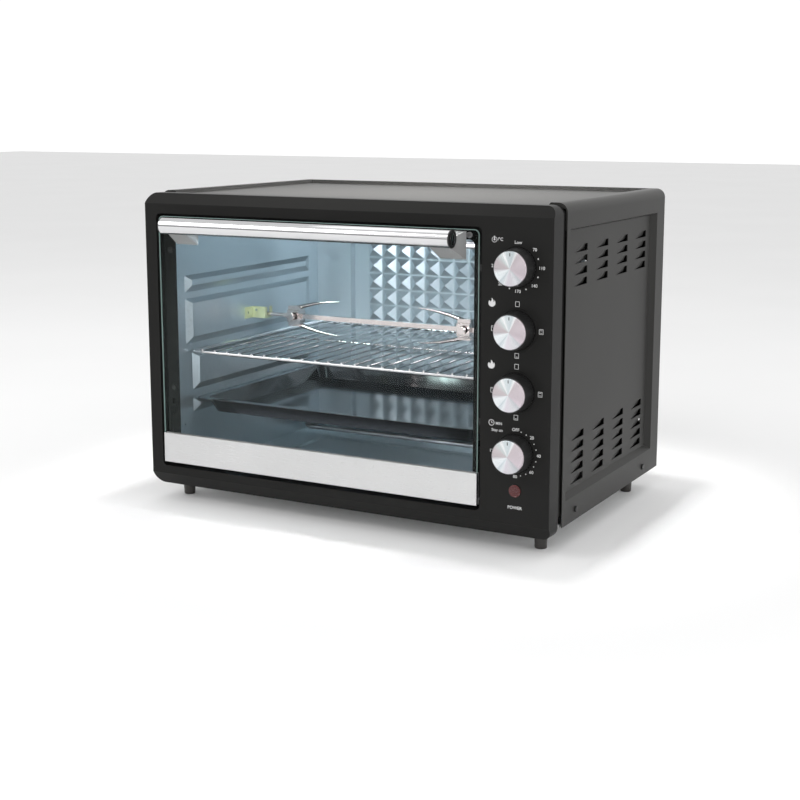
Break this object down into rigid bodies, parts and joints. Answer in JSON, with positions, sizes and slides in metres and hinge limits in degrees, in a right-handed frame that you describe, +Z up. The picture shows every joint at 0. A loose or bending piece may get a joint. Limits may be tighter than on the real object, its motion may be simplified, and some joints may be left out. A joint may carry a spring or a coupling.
{
  "type": "rotisserie oven",
  "caption": "Countertop rotisserie oven with a drop-down glass door, control knobs, a driven spit with forks, a wire rack, a tray and louvred sides.",
  "frame": {"origin": "on the table under the middle of the overall box", "axes": "+Z up, -Y out through the door, +X towards the controls"},
  "size_m": [0.5536, 0.42, 0.393],
  "materials": {
    "shell_paint": "fine satin charcoal powder coat",
    "fascia_black": "satin black moulding",
    "inner_black": "black painted sheet",
    "cavity_steel": "aluminised sheet",
    "zinc_steel": "zinc plated",
    "chrome": "polished chrome plate",
    "door_glass": "clear toughened glass with polished edges",
    "trim_steel": "brushed stainless steel",
    "element_steel": "oxidised stainless tube",
    "enamel": "glossy black enamel",
    "knob_black": "fine matt black plastic",
    "knob_metal": "spun aluminium disc",
    "bracket_silver": "silver plated plastic",
    "foot_plastic": "dark semi-gloss plastic",
    "control_plastic": "heat-proof moulded plastic",
    "ceramic": "steatite ceramic",
    "brass": "turned brass",
    "lens_red": "dark red ribbed lens",
    "spring_steel": "spring wire"
  },
  "bodies": {
    "oven": {"outer_shell": "shell_paint", "rear_cover": "shell_paint", "base_plate": "zinc_steel", "feet": "foot_plastic", "front_frame": "fascia_black", "cavity_front_flange": "inner_black", "cavity_left_wall": "cavity_steel", "cavity_right_wall": "cavity_steel", "cavity_back_panel": "cavity_steel", "cavity_floor": "cavity_steel", "cavity_roof": "cavity_steel", "lower_front_element": "element_steel", "lower_rear_element": "element_steel", "upper_front_element": "element_steel", "upper_rear_element": "element_steel", "element_bushes": "ceramic", "flange_screws": "zinc_steel", "casing_screws": "zinc_steel", "cord_gland": "foot_plastic", "spit_bracket": "zinc_steel", "rotisserie_motor": "zinc_steel", "motor_bracket": "zinc_steel", "hinge_pins": "zinc_steel", "hinge_springs": "spring_steel", "control_bracket": "zinc_steel", "indicator_lamp": "lens_red", "thermostat_bulb": "zinc_steel", "timer_body": "control_plastic", "lower_function_body": "control_plastic", "upper_function_body": "control_plastic", "thermostat_body": "control_plastic"},
    "door": {"door_glass": "door_glass", "door_trim": "trim_steel", "handle_tube": "chrome", "handle_end_plugs": "knob_black", "handle_bracket_left": "bracket_silver", "handle_bracket_right": "bracket_silver", "handle_screws": "zinc_steel", "hinge_arm_left": "zinc_steel", "hinge_arm_right": "zinc_steel"},
    "spit": {"drive_socket": "zinc_steel", "spit_rod": "chrome"},
    "fork_left": {"spit_fork_left": "chrome", "fork_screw_left": "chrome"},
    "fork_right": {"spit_fork_right": "chrome", "fork_screw_right": "chrome"},
    "rack": {"wire_rack": "chrome"},
    "tray": {"baking_tray": "enamel"},
    "timer_control": {"timer_knob": "knob_black", "timer_knob_cap": "knob_metal", "timer_shaft": "brass"},
    "lower_function_control": {"lower_function_knob": "knob_black", "lower_function_knob_cap": "knob_metal", "lower_function_shaft": "brass"},
    "upper_function_control": {"upper_function_knob": "knob_black", "upper_function_knob_cap": "knob_metal", "upper_function_shaft": "brass"},
    "thermostat_control": {"thermostat_knob": "knob_black", "thermostat_knob_cap": "knob_metal", "thermostat_shaft": "brass"}
  },
  "joints": [
    {"name": "door_hinge", "type": "hinge", "parent": "oven", "child": "door", "pos_m": [0, -0.165, 0.0575], "axis": [1, 0, 0], "range_deg": [0, 90], "stiffness_Nm_per_rad": 0.5, "springref_deg": -28.65},
    {"name": "rack_slide", "type": "slide", "parent": "oven", "child": "rack", "axis": [0, -1, 0], "range_m": [0, 0.19]},
    {"name": "tray_slide", "type": "slide", "parent": "oven", "child": "tray", "axis": [0, -1, 0], "range_m": [0, 0.08]},
    {"name": "spit_turn", "type": "hinge", "parent": "oven", "child": "spit", "pos_m": [0, 0.007, 0.2215], "axis": [1, 0, 0], "continuous": true},
    {"name": "fork_left_slide", "type": "slide", "parent": "spit", "child": "fork_left", "axis": [1, 0, 0], "range_m": [0, 0.05]},
    {"name": "fork_right_slide", "type": "slide", "parent": "spit", "child": "fork_right", "axis": [-1, 0, 0], "range_m": [0, 0.05]},
    {"name": "timer_turn", "type": "hinge", "parent": "oven", "child": "timer_control", "pos_m": [0.233, -0.173, 0.1175], "axis": [0, 1, 0], "range_deg": [-40, 270]},
    {"name": "lower_function_turn", "type": "hinge", "parent": "oven", "child": "lower_function_control", "pos_m": [0.233, -0.173, 0.1865], "axis": [0, 1, 0], "range_deg": [0, 270]},
    {"name": "upper_function_turn", "type": "hinge", "parent": "oven", "child": "upper_function_control", "pos_m": [0.233, -0.173, 0.2555], "axis": [0, 1, 0], "range_deg": [0, 270]},
    {"name": "thermostat_turn", "type": "hinge", "parent": "oven", "child": "thermostat_control", "pos_m": [0.233, -0.173, 0.3245], "axis": [0, 1, 0], "range_deg": [0, 270]}
  ],
  "couplings": [
    {"joint": "rack_slide", "follows": "door_hinge", "m_per_rad": 0.115},
    {"joint": "tray_slide", "follows": "door_hinge", "m_per_rad": 0.05}
  ]
}
